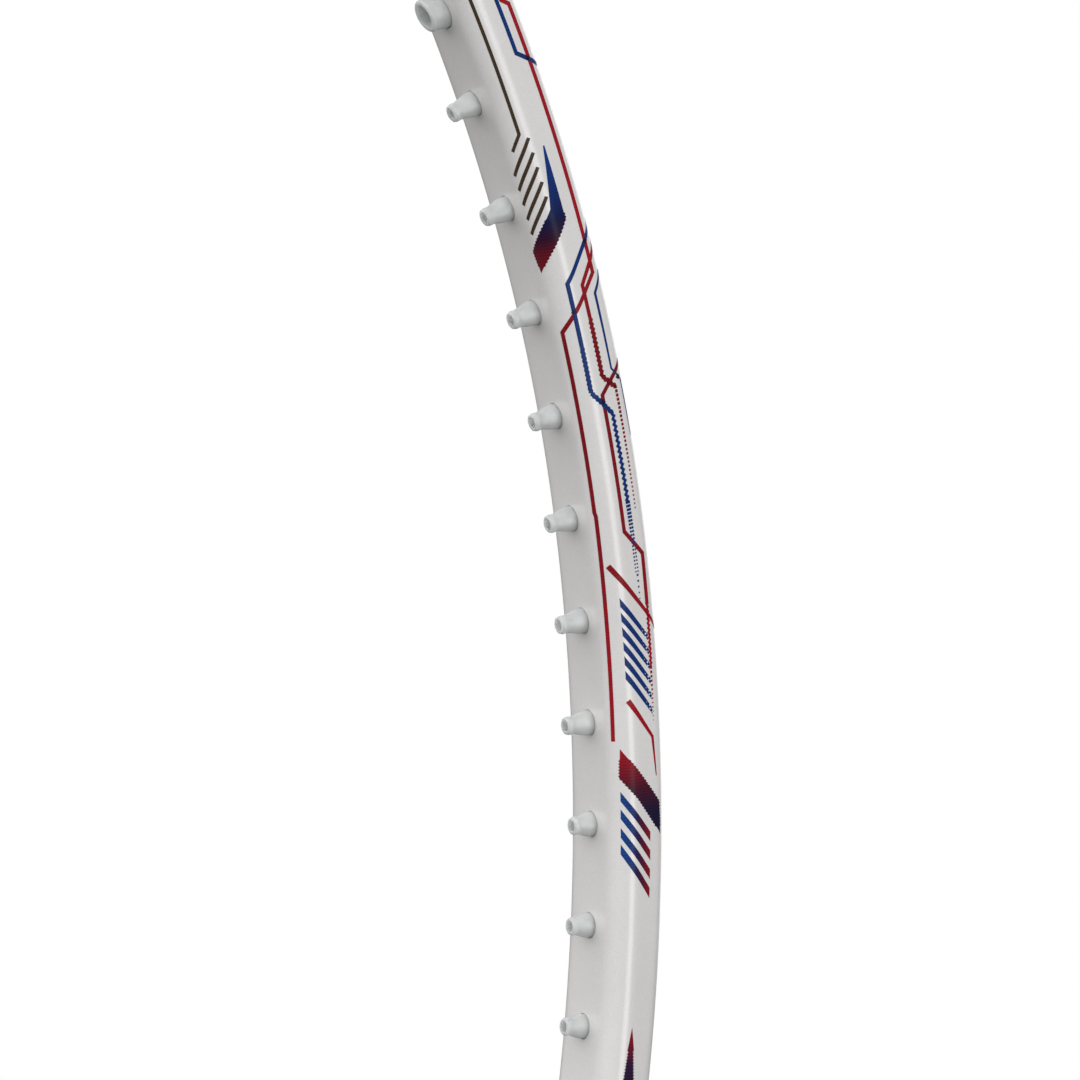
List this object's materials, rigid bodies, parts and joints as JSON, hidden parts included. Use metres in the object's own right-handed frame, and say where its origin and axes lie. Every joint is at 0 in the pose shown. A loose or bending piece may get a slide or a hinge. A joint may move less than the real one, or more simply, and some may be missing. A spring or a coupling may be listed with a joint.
{
  "type": "badminton racket",
  "caption": "Unstrung badminton racket: hollow oval head frame with nylon grommets, slim tubular shaft, cone and wrapped octagonal handle.",
  "frame": {"origin": "centre of the butt's flat end, on the shaft's axis", "axes": "+Z along the shaft from the butt to the crown of the head, +X across the head, -Y out of the front side of the string plane"},
  "size_m": [0.198, 0.028, 0.675],
  "materials": {
    "white_lacquered_carbon": "gloss pearl lacquer over carbon laminate",
    "white_plastic": "gloss lacquer",
    "cone_plastic": "satin",
    "handle_wood": "sanded, unvarnished",
    "cap_plastic": "white, fine moulded grain",
    "nail_steel": "plain",
    "badge_plastic": "gloss, printed navy field with bronze and red rings",
    "grip_polyurethane": "matte synthetic leather",
    "vinyl_tape": "satin tape",
    "grommet_nylon": "translucent milky nylon"
  },
  "bodies": {
    "root": {"head_frame": "white_lacquered_carbon", "t_joint": "white_lacquered_carbon", "throat_sleeve": "white_plastic", "shaft": "white_lacquered_carbon", "shaft_cone": "cone_plastic", "handle_half_front": "handle_wood", "handle_half_back": "handle_wood", "butt_cap": "cap_plastic", "butt_cap_nails": "nail_steel", "butt_badge": "badge_plastic", "grip_tack": "nail_steel", "grip": "grip_polyurethane", "collar_tape": "vinyl_tape", "grommets_crown_left": "grommet_nylon", "grommets_crown_right": "grommet_nylon", "grommets_upper_corner_left": "grommet_nylon", "grommets_upper_corner_right": "grommet_nylon", "grommets_upper_side_left": "grommet_nylon", "grommets_upper_side_right": "grommet_nylon", "grommets_lower_side_left": "grommet_nylon", "grommets_lower_side_right": "grommet_nylon", "grommets_lower_corner_left": "grommet_nylon", "grommets_lower_corner_right": "grommet_nylon", "grommets_throat_left": "grommet_nylon", "grommets_throat_right": "grommet_nylon"}
  },
  "joints": []
}
